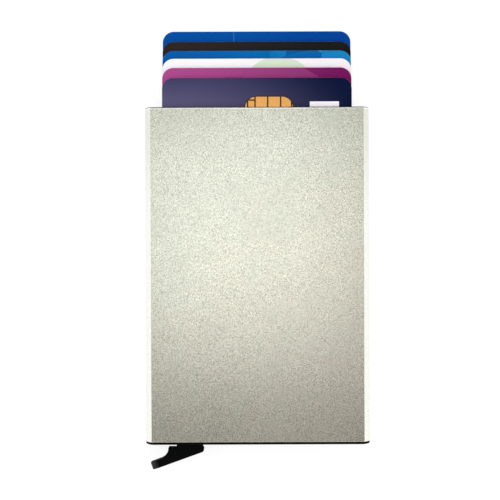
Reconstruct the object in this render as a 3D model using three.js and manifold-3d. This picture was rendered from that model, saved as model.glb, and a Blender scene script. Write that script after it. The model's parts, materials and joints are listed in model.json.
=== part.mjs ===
import * as THREE from 'three';
import { mergeVertices } from 'three/addons/utils/BufferGeometryUtils.js';
import Module from 'manifold-3d';

// A slim card holder. A lever under its base turns a stepped arm, which fans the cards out of the mouth.
// Millimetres. It lies on its back: X across, Y towards the mouth, Z out of the front face.
// The origin is the centre of the sleeve's back face.

// Cards, in the standard ID-1 format, from the front of the stack to the back
const NAVY_STANDS_OUT = 8.35; // of the mouth, when fanned
const MAGENTA_STANDS_OUT = 11.35;
const WHITE_STANDS_OUT = 14.07;
const SKY_STANDS_OUT = 16.43;
const BLACK_STANDS_OUT = 19.13;
const BLUE_STANDS_OUT = 22.21;
const CARDS = [
  { name: 'navy', colour: 0x2a2d4f, standsOut: NAVY_STANDS_OUT },
  { name: 'magenta', colour: 0x8e2f72, standsOut: MAGENTA_STANDS_OUT },
  { name: 'white', colour: 0xeeecef, standsOut: WHITE_STANDS_OUT },
  { name: 'sky', colour: 0x0a63ad, standsOut: SKY_STANDS_OUT },
  { name: 'black', colour: 0x201f22, standsOut: BLACK_STANDS_OUT },
  { name: 'blue', colour: 0x044a97, standsOut: BLUE_STANDS_OUT },
];
const CARD_LENGTH = 85.6;
const CARD_WIDTH = 53.98;
const CARD_THICKNESS = 0.76;
const CARD_CORNER = 3.18;
const CARD_GAP = 0.19; // between two cards of the stack

// Chip modules
const CHIP_WIDTH = 13.9;
const CHIP_HEIGHT = 12;
const CHIP_CORNER = 3.3;
const CHIP_THICKNESS = 0.22;
const CHIP_SIDE_GAP = 0.1;
const CHIP_BED_GAP = 0.03; // glue line under the module
const CHIP_FROM_TOP = 5.25; // card's upper edge to the module's upper edge
const CHIP_OFF_CENTRE = 3.46;

// Sleeve
const WALL = 0.9;
const SIDE_BULGE = 1.8;
const STACK_GAP = 0.345; // between the stack and the flat walls
const MOUTH_RECESS = 3; // how deep the cards sit below the mouth when they are home
const FIT_GAP = 0.15; // between the sleeve's inside and what is pushed into it
const SEAT_GAP = 0.05; // between flat faces that meet

// Rails and finned strips along the sleeve's narrow sides
const RAIL_THICKNESS = 2.21; // at the middle of the bulge
const RAIL_FROM_MOUTH = 1;
const RAIL_END_GAP = 0.2; // above the base
const STRIP_GAP = 0.1;
const STRIP_WEB = 0.45;
const STRIP_INSET = 0.15; // the strip is this much narrower than its rail on each edge
const FIN_HEIGHT = 0.9;
const FIN_ROOT = 0.9;
const FIN_TIP = 0.35;
const FIN_RISE = 0.8; // how far a fin's tip leans towards the mouth
const FIN_PITCH = 3;
const FIN_CARD_GAP = 0.3;

// Base
const FLANGE_THICKNESS = 0.6;
const FLOOR_THICKNESS = 1.2; // inside the sleeve
const REST_GAP = 0.3; // between the base and the cards when they are home

// Lever
const PIVOT_INSET = 12; // from the sleeve's left side
const PIVOT_HEIGHT = 4.1; // above the sleeve's lower end
const HUB_RADIUS = 2.2;
const LEVER_THICKNESS = 3.7;
const LEVER_SIDE_GAP = 0.2; // between the lever and each cheek
const LEVER_SWING = 45; // degrees from rest to fully pressed
const ARM_START = 8; // from the pivot to where the arm grows to the stack's thickness
const ARM_TIP_DEPTH = 2;
const ARM_FLOOR_GAP = 0.3;
const ARM_WALL_GAP = 0.3;
const ARM_END_GAP = 0.6;
const LIFT_GAP = 0.3; // between the pressed arm's steps and the fanned cards
const NECK_LEFT = 3.2; // from the pivot
const NECK_RIGHT = 4.3;
const NECK_SLOT_GAP = 0.4;
const CHEEK_RIGHT = 6.5;

// The finger under the base
const SHOULDER_DROP = 0.95; // below the flange
const SHOULDER_LEFT = 5.62; // from the pivot
const SHOULDER_RIGHT = 4.57;
const SHOULDER_DEPTH = 1.27;
const SHOULDER_ROUND = 0.35;
const HEEL_ROUND = 0.8;
const FINGER_ANGLE = 19.7; // degrees below the flange
const FINGER_LENGTH = 15.42; // along its lower edge
const FINGER_THICKNESS = 2.3;
const FINGER_ROUND = 0.35;
const NOTCH_RADIUS = 3; // limited by the shoulder above it
const TIP_TAPER_LENGTH = 2.3;
const TIP_TAPER_DEPTH = 0.8;

// Hinge pin and return spring
const PIN_RADIUS = 0.75;
const PIN_HOLD_GAP = 0.05; // in the cheeks
const PIN_RUN_GAP = 0.1; // in the lever
const SPRING_WIRE = 0.35; // diameter
const SPRING_RADIUS = 1.5; // to the wire's centre
const SPRING_TURNS = 2;
const SPRING_PITCH = 0.8;
const SPRING_FIXED_LEG = 5;
const SPRING_MOVING_LEG = 5.3;
const SPRING_GAP = 0.3;
const SPRING_POCKET_GAP = 0.9; // round the coil
const LEG_END_GAP = 0.5;

// Facets
const ARC_STEPS = 5;
const ROUND_STEPS = 24;
const SPRING_STEPS_PER_TURN = 12;
const SPRING_SIDES = 6;
const MERGE_DISTANCE = 1e-4;
const CUT_OVERRUN = 1; // how far a cutter runs past the faces that it cuts through

// Heights through the stack
const cardPitch = CARD_THICKNESS + CARD_GAP;
const stackThickness = CARDS.length * cardPitch - CARD_GAP;
const sleeveThickness = stackThickness + 2 * (STACK_GAP + WALL);
const middle = sleeveThickness / 2;
const insideHalf = middle - WALL;
const plugHalf = insideHalf - FIT_GAP;
const leverHalf = LEVER_THICKNESS / 2;
const slotHalf = leverHalf + LEVER_SIDE_GAP;

// Places across the sleeve, outwards from the card's edge
const finTipX = CARD_WIDTH / 2 + FIN_CARD_GAP;
const webX = finTipX + FIN_HEIGHT;
const railFaceX = webX + STRIP_WEB + STRIP_GAP;
const halfWidth = railFaceX + RAIL_THICKNESS + FIT_GAP + WALL;
const sideRadius = (middle ** 2 + SIDE_BULGE ** 2) / (2 * SIDE_BULGE);
const sideCentreX = halfWidth - sideRadius;

// Places along the sleeve
const plugHeight = PIVOT_HEIGHT + HUB_RADIUS;
const sleeveLength = plugHeight + REST_GAP + CARD_LENGTH + MOUTH_RECESS;
const mouthY = sleeveLength / 2;
const lowerEndY = -sleeveLength / 2;
const plugTopY = lowerEndY + plugHeight;
const floorY = lowerEndY + FLOOR_THICKNESS;
const flangeTopY = lowerEndY - SEAT_GAP;
const flangeBottomY = flangeTopY - FLANGE_THICKNESS;

// The lever's pivot and the reach of its steps
const pivotX = PIVOT_INSET - halfWidth;
const pivotY = lowerEndY + PIVOT_HEIGHT;
const swing = THREE.MathUtils.degToRad(LEVER_SWING);
const fingerAngle = THREE.MathUtils.degToRad(FINGER_ANGLE);
const armBottom = floorY + ARM_FLOOR_GAP - pivotY;
const shoulderY = flangeBottomY - SHOULDER_DROP - pivotY;
const springLow = middle - slotHalf + SPRING_GAP + SPRING_WIRE / 2;
const springHigh = springLow + SPRING_TURNS * SPRING_PITCH;
const springPocketTop = springHigh + SPRING_WIRE / 2 + SPRING_GAP;

const cardMiddle = (index) => middle + stackThickness / 2 - CARD_THICKNESS / 2 - index * cardPitch;
const cardTop = (index) => mouthY + CARDS[index].standsOut;

// The pressed step's upper corner stops just under its card's lower edge.
function stepReach(index) {
  const lift = cardTop(index) - CARD_LENGTH - LIFT_GAP - pivotY;
  return (lift - HUB_RADIUS * Math.cos(swing)) / Math.sin(swing);
}

const wasm = await Module();
wasm.setup();

function solidOf(geometry) {
  const bare = geometry.clone();
  bare.deleteAttribute('normal');
  bare.deleteAttribute('uv');
  const merged = mergeVertices(bare, MERGE_DISTANCE);
  const vertProperties = merged.attributes.position.array;
  const triVerts = new Uint32Array(merged.index.array);
  return new wasm.Manifold(new wasm.Mesh({ numProp: 3, vertProperties, triVerts }));
}

// Joins the first list of geometries and cuts the second list away.
function carve(joined, removed = []) {
  let solid = joined.map(solidOf).reduce((all, next) => all.add(next));
  for (const cutter of removed) solid = solid.subtract(solidOf(cutter));
  const mesh = solid.getMesh();
  const geometry = new THREE.BufferGeometry();
  geometry.setAttribute('position', new THREE.BufferAttribute(mesh.vertProperties, 3));
  geometry.setIndex(new THREE.BufferAttribute(mesh.triVerts, 1));
  geometry.computeVertexNormals();
  return geometry;
}

// A closed outline through corners [x, y, rounding radius].
function roundedOutline(corners) {
  const shape = new THREE.Shape();
  corners.forEach(([x, y, radius], index) => {
    const corner = new THREE.Vector2(x, y);
    const back = new THREE.Vector2(...corners.at(index - 1)).sub(corner).normalize();
    const ahead = new THREE.Vector2(...corners[(index + 1) % corners.length]).sub(corner).normalize();
    const half = Math.acos(back.dot(ahead)) / 2;
    const inset = radius / Math.tan(half);
    const inward = back.clone().add(ahead).setLength(radius / Math.sin(half));
    const centre = corner.clone().add(inward);
    const start = back.clone().multiplyScalar(inset).sub(inward).angle();
    const end = ahead.clone().multiplyScalar(inset).sub(inward).angle();
    const turnsRight = back.cross(ahead) > 0;
    shape.absarc(centre.x, centre.y, radius, start, end, turnsRight);
  });
  return shape;
}

function roundedRectangle(width, height, radius) {
  return roundedOutline([
    [-width / 2, -height / 2, radius],
    [width / 2, -height / 2, radius],
    [width / 2, height / 2, radius],
    [-width / 2, height / 2, radius],
  ]);
}

// A plan outline given thickness between two heights.
function slab(shape, low, high) {
  const options = { depth: high - low, bevelEnabled: false, curveSegments: ARC_STEPS };
  return new THREE.ExtrudeGeometry(shape, options).translate(0, 0, low);
}

// A section in X and Z, drawn along Y between two places.
function bar(section, low, high) {
  return slab(section, 0, high - low)
    .rotateX(Math.PI / 2)
    .translate(0, high, 0);
}

function block(lowX, highX, lowY, highY, lowZ, highZ) {
  const box = new THREE.BoxGeometry(highX - lowX, highY - lowY, highZ - lowZ);
  return box.translate((lowX + highX) / 2, (lowY + highY) / 2, (lowZ + highZ) / 2);
}

// A round peg on the pivot's axis, in the lever's own frame.
function peg(radius, low, high) {
  return new THREE.CylinderGeometry(radius, radius, high - low, ROUND_STEPS)
    .rotateX(Math.PI / 2)
    .translate(0, 0, (low + high) / 2);
}

// The sleeve's section, inset from its outer surface: two flats joined by bulged sides.
function sleeveSection(inset) {
  const radius = sideRadius - inset;
  const sweep = Math.asin((middle - inset) / radius);
  const shape = new THREE.Shape();
  shape.absarc(sideCentreX, middle, radius, -sweep, sweep, false);
  shape.absarc(-sideCentreX, middle, radius, Math.PI - sweep, Math.PI + sweep, false);
  return shape;
}

function housingTube() {
  const section = sleeveSection(0);
  section.holes.push(sleeveSection(WALL));
  return bar(section, lowerEndY, mouthY);
}

// The moulded base: a flange, a plug, and a hollow for the lever with a cheek on each side of its hub.
function baseCap() {
  const neckSlot = block(
    pivotX - NECK_LEFT - NECK_SLOT_GAP,
    pivotX + heelReach() + NECK_SLOT_GAP,
    flangeBottomY - CUT_OVERRUN,
    plugTopY + CUT_OVERRUN,
    middle - slotHalf,
    middle + slotHalf,
  );
  const springShelf = block(
    pivotX - SPRING_FIXED_LEG - LEG_END_GAP,
    pivotX,
    pivotY - SPRING_RADIUS - SPRING_WIRE / 2 - SPRING_GAP,
    plugTopY + CUT_OVERRUN,
    middle - slotHalf,
    middle + slotHalf,
  );
  const armHollow = block(
    pivotX + CHEEK_RIGHT,
    pivotX + stepReach(CARDS.length - 1) + ARM_END_GAP,
    floorY,
    plugTopY + CUT_OVERRUN,
    -CUT_OVERRUN,
    sleeveThickness + CUT_OVERRUN,
  );
  const pinHoles = peg(PIN_RADIUS + PIN_HOLD_GAP, 0, sleeveThickness).translate(pivotX, pivotY, 0);
  return carve(
    [
      bar(sleeveSection(0), flangeBottomY, flangeTopY),
      bar(sleeveSection(WALL + FIT_GAP), flangeTopY - FLANGE_THICKNESS / 2, plugTopY),
    ],
    [neckSlot, springShelf, armHollow, pinHoles],
  );
}

// How far the heel of the finger reaches from the pivot as it swings up into the base.
function heelReach() {
  return Math.hypot(SHOULDER_RIGHT, shoulderY - SHOULDER_DEPTH);
}

// The finger's outline: shoulders under the base, and a squared finger that slants away to the left.
function fingerOutline() {
  const along = new THREE.Vector2(-Math.cos(fingerAngle), -Math.sin(fingerAngle));
  const across = new THREE.Vector2(-Math.sin(fingerAngle), Math.cos(fingerAngle));
  const heel = new THREE.Vector2(SHOULDER_RIGHT, shoulderY - SHOULDER_DEPTH);
  const tipLower = heel.clone().addScaledVector(along, FINGER_LENGTH);
  const tipUpper = tipLower.clone().addScaledVector(across, FINGER_THICKNESS);
  const backToNotch = (-SHOULDER_LEFT - tipUpper.x) / along.x;
  const notch = tipUpper.clone().addScaledVector(along, backToNotch);
  const notchRoom = shoulderY - SHOULDER_ROUND - notch.y;
  const notchRadius = Math.min(NOTCH_RADIUS, notchRoom * Math.tan((Math.PI / 2 + fingerAngle) / 2));
  const shape = roundedOutline([
    [SHOULDER_RIGHT, shoulderY, SHOULDER_ROUND],
    [-SHOULDER_LEFT, shoulderY, SHOULDER_ROUND],
    [notch.x, notch.y, notchRadius],
    [tipUpper.x, tipUpper.y, FINGER_ROUND],
    [tipLower.x, tipLower.y, FINGER_ROUND],
    [heel.x, heel.y, HEEL_ROUND],
  ]);
  return { shape, along, across, tipLower };
}

// Two wedges that thin the finger's tip from the front and from the back.
function tipWedges({ along, across, tipLower }) {
  const axes = new THREE.Matrix4().makeBasis(
    new THREE.Vector3(along.x, along.y, 0),
    new THREE.Vector3(0, 0, 1),
    new THREE.Vector3(across.x, across.y, 0),
  );
  axes.setPosition(tipLower.x, tipLower.y, middle);
  const slope = TIP_TAPER_DEPTH / TIP_TAPER_LENGTH;
  return [1, -1].map((side) => {
    const wedge = new THREE.Shape([
      new THREE.Vector2(-TIP_TAPER_LENGTH, side * leverHalf),
      new THREE.Vector2(CUT_OVERRUN, side * (leverHalf - TIP_TAPER_DEPTH - CUT_OVERRUN * slope)),
      new THREE.Vector2(CUT_OVERRUN, side * (leverHalf + CUT_OVERRUN)),
      new THREE.Vector2(-TIP_TAPER_LENGTH, side * (leverHalf + CUT_OVERRUN)),
    ]);
    return slab(wedge, -CUT_OVERRUN, FINGER_THICKNESS + CUT_OVERRUN).applyMatrix4(axes);
  });
}

// One step of the arm, as thick as the stack up to its own card, and longer for each card further back.
function armStep(index) {
  const farthest = stepReach(CARDS.length - 1);
  const reach = stepReach(index);
  const tipBottom = HUB_RADIUS - ARM_TIP_DEPTH;
  const bottomAtReach = armBottom + ((tipBottom - armBottom) * (reach - ARM_START)) / (farthest - ARM_START);
  const shape = new THREE.Shape([
    new THREE.Vector2(ARM_START, armBottom),
    new THREE.Vector2(reach, bottomAtReach),
    new THREE.Vector2(reach, HUB_RADIUS),
    new THREE.Vector2(ARM_START, HUB_RADIUS),
  ]);
  return slab(shape, middle - insideHalf + ARM_WALL_GAP, cardMiddle(index) + CARD_THICKNESS / 2);
}

// The lever in its own frame, with the pivot at x = 0 and y = 0: hub, neck, finger and stepped arm.
function ejectorLever() {
  const low = middle - leverHalf;
  const high = middle + leverHalf;
  const finger = fingerOutline();
  const neck = new THREE.Shape([
    new THREE.Vector2(-NECK_LEFT, shoulderY - SHOULDER_ROUND),
    new THREE.Vector2(NECK_RIGHT, shoulderY - SHOULDER_ROUND),
    new THREE.Vector2(NECK_RIGHT, armBottom),
    new THREE.Vector2(HUB_RADIUS, 0),
    new THREE.Vector2(-HUB_RADIUS, 0),
    new THREE.Vector2(-NECK_LEFT, armBottom),
  ]);
  const armRoot = block(0, ARM_START + CUT_OVERRUN, armBottom, HUB_RADIUS, low, high);
  const legY = -SPRING_RADIUS;
  const legRoom = SPRING_WIRE / 2 + SPRING_GAP;
  const pocketRadius = SPRING_RADIUS + SPRING_WIRE / 2 + SPRING_POCKET_GAP;
  const coilPocket = peg(pocketRadius, low - CUT_OVERRUN, springPocketTop);
  const fixedLegSweep = block(
    -NECK_LEFT - CUT_OVERRUN,
    0,
    legY - legRoom,
    HUB_RADIUS + CUT_OVERRUN,
    low - CUT_OVERRUN,
    springPocketTop,
  );
  const movingLegSlot = block(
    0,
    SPRING_MOVING_LEG + LEG_END_GAP,
    legY - legRoom,
    legY + legRoom,
    springHigh - legRoom,
    springPocketTop,
  );
  return carve(
    [
      slab(finger.shape, low, high),
      slab(neck, low, high),
      peg(HUB_RADIUS, low, high),
      armRoot,
      ...CARDS.map((unused, index) => armStep(index)),
    ],
    [
      ...tipWedges(finger),
      peg(PIN_RADIUS + PIN_RUN_GAP, 0, sleeveThickness),
      coilPocket,
      fixedLegSweep,
      movingLegSlot,
    ],
  );
}

// The spring's centre line in the lever's frame: the base's leg, the coil, and the leg in the arm.
class SpringPath extends THREE.Curve {
  getPoint(share, target = new THREE.Vector3()) {
    const coilLength = 2 * Math.PI * SPRING_RADIUS * SPRING_TURNS;
    const run = share * (SPRING_FIXED_LEG + coilLength + SPRING_MOVING_LEG) - SPRING_FIXED_LEG;
    if (run < 0) return target.set(run, -SPRING_RADIUS, springLow);
    if (run > coilLength) return target.set(run - coilLength, -SPRING_RADIUS, springHigh);
    const turned = run / SPRING_RADIUS;
    return target.set(
      SPRING_RADIUS * Math.sin(turned),
      -SPRING_RADIUS * Math.cos(turned),
      springLow + (springHigh - springLow) * (run / coilLength),
    );
  }
}

function returnSpring() {
  const path = new SpringPath();
  const turnLength = 2 * Math.PI * SPRING_RADIUS;
  const steps = Math.round((path.getLength() / turnLength) * SPRING_STEPS_PER_TURN);
  const sides = Array.from({ length: SPRING_SIDES }, (unused, side) => {
    const angle = (side / SPRING_SIDES) * 2 * Math.PI;
    return new THREE.Vector2(Math.cos(angle), Math.sin(angle)).multiplyScalar(SPRING_WIRE / 2);
  });
  printSpringGap(path);
  const options = { steps, extrudePath: path, bevelEnabled: false };
  return new THREE.ExtrudeGeometry(new THREE.Shape(sides), options);
}

// Prints the least gap between the spring's wire and itself, between points half a turn or more apart.
function printSpringGap(path) {
  const count = 240;
  const points = path.getSpacedPoints(count);
  const halfTurn = Math.ceil((Math.PI * SPRING_RADIUS * count) / path.getLength());
  let least = Infinity;
  points.forEach((point, index) => {
    for (const other of points.slice(index + halfTurn)) least = Math.min(least, point.distanceTo(other));
  });
  console.log(`return_spring: least gap between turns ${(least - SPRING_WIRE).toFixed(2)} mm`);
}

function guideRail() {
  const radius = sideRadius - WALL - FIT_GAP;
  const sweep = Math.asin(plugHalf / radius);
  const section = new THREE.Shape();
  section.moveTo(railFaceX, middle - plugHalf);
  section.absarc(sideCentreX, middle, radius, -sweep, sweep, false);
  section.lineTo(railFaceX, middle + plugHalf);
  return bar(section, plugTopY + RAIL_END_GAP, mouthY - RAIL_FROM_MOUTH);
}

// A soft comb whose fins lean towards the mouth and hold the cards by their edges.
function finStrip() {
  const low = plugTopY + RAIL_END_GAP;
  const high = mouthY - RAIL_FROM_MOUTH;
  const outerX = webX + STRIP_WEB;
  const count = Math.floor((high - low - FIN_RISE) / FIN_PITCH);
  const spare = high - low - FIN_RISE - (count - 1) * FIN_PITCH - FIN_ROOT;
  const shape = new THREE.Shape();
  shape.moveTo(outerX, low);
  shape.lineTo(outerX, high);
  shape.lineTo(webX, high);
  for (let fin = count - 1; fin >= 0; fin -= 1) {
    const root = low + spare / 2 + fin * FIN_PITCH;
    const tip = root + (FIN_ROOT - FIN_TIP) / 2 + FIN_RISE;
    shape.lineTo(webX, root + FIN_ROOT);
    shape.lineTo(finTipX, tip + FIN_TIP);
    shape.lineTo(finTipX, tip);
    shape.lineTo(webX, root);
  }
  shape.lineTo(webX, low);
  return slab(shape, middle - plugHalf + STRIP_INSET, middle + plugHalf - STRIP_INSET);
}

// The middle of a card's chip module along Y.
const chipCentreY = (index) => cardTop(index) - CHIP_FROM_TOP - CHIP_HEIGHT / 2;

function card(index) {
  const low = cardMiddle(index) - CARD_THICKNESS / 2;
  const high = low + CARD_THICKNESS;
  const plate = slab(roundedRectangle(CARD_WIDTH, CARD_LENGTH, CARD_CORNER), low, high);
  const pocketShape = roundedRectangle(
    CHIP_WIDTH + 2 * CHIP_SIDE_GAP,
    CHIP_HEIGHT + 2 * CHIP_SIDE_GAP,
    CHIP_CORNER + CHIP_SIDE_GAP,
  );
  const pocket = slab(pocketShape, high - CHIP_THICKNESS - CHIP_BED_GAP, high + CUT_OVERRUN);
  return carve(
    [plate.translate(0, cardTop(index) - CARD_LENGTH / 2, 0)],
    [pocket.translate(CHIP_OFF_CENTRE, chipCentreY(index), 0)],
  );
}

function chip(index) {
  const high = cardMiddle(index) + CARD_THICKNESS / 2;
  const plate = slab(roundedRectangle(CHIP_WIDTH, CHIP_HEIGHT, CHIP_CORNER), high - CHIP_THICKNESS, high);
  return plate.translate(CHIP_OFF_CENTRE, chipCentreY(index), 0);
}

// Materials
function finish(color, roughness, metalness) {
  return new THREE.MeshStandardMaterial({ color, roughness, metalness });
}

const anodisedAluminium = finish(0xcfd0bd, 0.42, 0.9);
const blackPlastic = finish(0x0c0d0d, 0.55, 0);
const steel = finish(0xb9bcc0, 0.35, 1);
const softRubber = finish(0x2c2d2f, 0.8, 0);
const chipGold = finish(0xd9a85e, 0.3, 1);

const holder = new THREE.Group();

function place(name, geometry, material, parent = holder) {
  const mesh = new THREE.Mesh(geometry, material);
  mesh.name = name;
  parent.add(mesh);
  return mesh;
}

// A piece drawn for the right side, turned half round about Y to the left side.
function placeLeft(name, geometry, material) {
  const mesh = place(name, geometry, material);
  mesh.rotation.y = Math.PI;
  mesh.position.z = sleeveThickness;
}

place('housing_tube', housingTube(), anodisedAluminium);
place('base_cap', baseCap(), blackPlastic);

const hinge = new THREE.Group();
hinge.position.set(pivotX, pivotY, 0);
holder.add(hinge);
place('ejector_lever', ejectorLever(), blackPlastic, hinge);
place('hinge_pin', peg(PIN_RADIUS, middle - plugHalf, middle + plugHalf), steel, hinge);
place('return_spring', returnSpring(), steel, hinge);

place('right_guide_rail', guideRail(), blackPlastic);
placeLeft('left_guide_rail', guideRail(), blackPlastic);
place('right_fin_strip', finStrip(), softRubber);
placeLeft('left_fin_strip', finStrip(), softRubber);

CARDS.forEach(({ name, colour }, index) => {
  place(`${name}_card`, card(index), finish(colour, 0.3, 0));
  place(`${name}_chip`, chip(index), chipGold);
});

export default holder;
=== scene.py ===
# %% [markdown]
# # A slim card holder that fans its cards
# A flat aluminium sleeve holds six cards. A black lever under its base turns a stepped arm, and the arm
# pushes the cards out of the mouth like stairs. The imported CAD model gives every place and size, so each
# piece here is built straight onto it, in metres, with +Z out of the front face and +Y towards the mouth.

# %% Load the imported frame
import json
import math

import bmesh
import bpy
from mathutils import Matrix, Quaternion, Vector


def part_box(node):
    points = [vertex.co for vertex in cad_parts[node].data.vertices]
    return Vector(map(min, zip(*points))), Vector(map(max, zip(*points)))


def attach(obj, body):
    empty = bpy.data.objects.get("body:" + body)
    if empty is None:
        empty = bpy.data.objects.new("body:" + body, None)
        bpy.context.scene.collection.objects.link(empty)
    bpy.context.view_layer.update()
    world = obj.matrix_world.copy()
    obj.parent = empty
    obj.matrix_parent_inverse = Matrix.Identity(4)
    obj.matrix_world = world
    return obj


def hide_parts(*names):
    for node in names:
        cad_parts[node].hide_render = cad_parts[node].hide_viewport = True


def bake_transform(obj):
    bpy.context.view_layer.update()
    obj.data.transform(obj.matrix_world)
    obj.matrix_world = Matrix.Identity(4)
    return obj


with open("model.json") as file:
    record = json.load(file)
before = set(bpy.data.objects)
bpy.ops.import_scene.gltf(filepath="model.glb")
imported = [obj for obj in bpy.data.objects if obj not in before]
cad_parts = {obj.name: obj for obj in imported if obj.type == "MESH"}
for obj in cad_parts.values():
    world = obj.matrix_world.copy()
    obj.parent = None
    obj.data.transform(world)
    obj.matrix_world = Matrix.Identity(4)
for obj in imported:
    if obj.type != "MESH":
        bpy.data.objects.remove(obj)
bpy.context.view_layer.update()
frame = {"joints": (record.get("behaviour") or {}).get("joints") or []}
MM = 0.001

# %% [markdown]
# ## Camera
# The photograph looks straight down on the holder. The six cards have one standard width, and the deeper
# ones look narrower, which tells how far away the lens was. A focal length in pixels turns into one in
# millimetres through the sensor's width, so no guessing in the viewport is needed.

# %% Camera over the holder
IMAGE_PIXELS = 500
FOCAL_PIXELS = 1528.5
SENSOR_WIDTH = 36.0  # millimetres, as Blender's lens setting is
CAMERA_PLACE = Vector((-2.11, 6.98, 441.46)) * MM
CAMERA_ROLL = math.radians(-0.2)  # the holder lies a touch askew in the picture

camera_data = bpy.data.cameras.new("photo_camera")
camera_data.sensor_width = SENSOR_WIDTH
camera_data.lens = FOCAL_PIXELS / IMAGE_PIXELS * SENSOR_WIDTH
camera_data.clip_start = 50 * MM
camera = bpy.data.objects.new("photo_camera", camera_data)
camera.location = CAMERA_PLACE
camera.rotation_euler = (0.0, 0.0, CAMERA_ROLL)
bpy.context.collection.objects.link(camera)
bpy.context.scene.camera = camera
bpy.context.scene.view_settings.view_transform = "Standard"
print("lens", round(camera_data.lens, 2), "mm")

# %% [markdown]
# ## Nodes in a few words
# Materials, the world and the floor are all node trees. One helper adds a node and fills its sockets,
# and a few more wrap the nodes that come up again and again: arithmetic, colour mixing and remapping.

# %% Node helpers
def put(tree, kind, inputs=None, **options):
    """Adds a node, sets its options, and links or sets its inputs."""
    made = tree.nodes.new(kind)
    for option, value in options.items():
        setattr(made, option, value)
    for socket, value in (inputs or {}).items():
        if isinstance(value, bpy.types.NodeSocket):
            tree.links.new(value, made.inputs[socket])
        else:
            made.inputs[socket].default_value = value
    return made


def maths(tree, operation, first, second=0.0):
    return put(tree, "ShaderNodeMath", {0: first, 1: second}, operation=operation).outputs[0]


def times(tree, first, second):
    return maths(tree, "MULTIPLY", first, second)


def vector_maths(tree, operation, first, second):
    return put(tree, "ShaderNodeVectorMath", {0: first, 1: second}, operation=operation).outputs


def mix_colours(tree, factor, first, second, blend_type="MIX"):
    sockets = {0: factor, 6: first, 7: second}
    return put(tree, "ShaderNodeMix", sockets, data_type="RGBA", blend_type=blend_type).outputs[2]


def remap(tree, value, start, end, to_start=0.0, to_end=1.0, curve="LINEAR"):
    sockets = {0: value, 1: start, 2: end, 3: to_start, 4: to_end}
    return put(tree, "ShaderNodeMapRange", sockets, interpolation_type=curve).outputs[0]


def between(tree, value, low, high):
    """1 where the value lies between two limits, otherwise 0."""
    return times(tree, maths(tree, "GREATER_THAN", value, low), maths(tree, "LESS_THAN", value, high))


def display_colour(red, green, blue):
    """A colour as a screen shows it, 0 to 255, turned into the linear values that shaders use."""
    def linear(value):
        share = value / 255
        return share / 12.92 if share <= 0.04045 else ((share + 0.055) / 1.055) ** 2.4

    return (linear(red), linear(green), linear(blue), 1.0)


print("node helpers ready")

# %% [markdown]
# ## Studio
# The holder lies on a white table. A satin metal face shows what is above it, so the bloom on the face is
# the picture of an overhead softbox beside the lens, blurred by the metal's finish. Low softboxes on both
# sides carry most of the light for the printed cards. They are kept out of reflections, or the metal would
# turn plain white when it is seen from a side. The sky is dark overhead and white at the horizon, which is
# what the sleeve's rounded sides pick up.

# %% World
HORIZON_LIGHT = 1.15
SKY_FALLOFF = 0.45

world = bpy.data.worlds.new("studio")
world.use_nodes = True
bpy.context.scene.world = world
sky = world.node_tree
direction = put(sky, "ShaderNodeTexCoord").outputs["Generated"]
height = maths(sky, "ABSOLUTE", put(sky, "ShaderNodeSeparateXYZ", {0: direction}).outputs["Z"])
lowness = maths(sky, "POWER", maths(sky, "SUBTRACT", 1.0, height), SKY_FALLOFF)
sky_light = times(sky, lowness, HORIZON_LIGHT)
sky.links.new(sky_light, sky.nodes["Background"].inputs["Strength"])
sky.nodes["Background"].inputs["Color"].default_value = (1.0, 1.0, 1.0, 1.0)
print("sky from black overhead to", HORIZON_LIGHT, "at the horizon")

# %% Softboxes
def softbox(name, place, size, glow, turn=0.0, in_reflections=True):
    """An area lamp that faces the holder; glow is how bright its surface is, with 1 as paper white."""
    lamp = bpy.data.lights.new(name, "AREA")
    lamp.shape = "RECTANGLE"
    lamp.size, lamp.size_y = size
    lamp.energy = glow * math.pi * lamp.size * lamp.size_y
    box = bpy.data.objects.new(name, lamp)
    box.location = place
    facing = (-place).to_track_quat("-Z", "Y")
    box.rotation_euler = (facing @ Quaternion((0.0, 0.0, 1.0), turn)).to_euler()
    box.visible_glossy = in_reflections
    bpy.context.collection.objects.link(box)


OVERHEAD_PLACE = CAMERA_PLACE + Vector((-5.8, 16.6, 8.5)) * MM
OVERHEAD_SIZE = (0.165, 0.16)
OVERHEAD_TURN = math.radians(-18.5)
OVERHEAD_GLOW = 1.36
SIDE_DISTANCE = 0.75
SIDE_ELEVATION = math.radians(35)
SIDE_SIZE = (1.2, 0.4)
SIDE_GLOW = 1.6

softbox("overhead_softbox", OVERHEAD_PLACE, OVERHEAD_SIZE, OVERHEAD_GLOW, OVERHEAD_TURN)
for side, name in ((-1, "left_softbox"), (1, "right_softbox")):
    place = Vector((side * math.cos(SIDE_ELEVATION), 0.0, math.sin(SIDE_ELEVATION))) * SIDE_DISTANCE
    softbox(name, place, SIDE_SIZE, SIDE_GLOW, in_reflections=False)

# %% Floor
FLOOR_HALF = 3.0
FLOOR_GAP = 0.02 * MM
FLOOR_GREY = 0.26
FLOOR_GLOW = 0.82

SQUARE = [(-1, -1), (1, -1), (1, 1), (-1, 1)]  # the corners of any rectangle, counter-clockwise

floor_mesh = bpy.data.meshes.new("table_top")
floor_points = [(x * FLOOR_HALF, y * FLOOR_HALF, -FLOOR_GAP) for x, y in SQUARE]
floor_mesh.from_pydata(floor_points, [], [range(4)])
floor = bpy.data.objects.new("table_top", floor_mesh)
bpy.context.collection.objects.link(floor)

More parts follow.
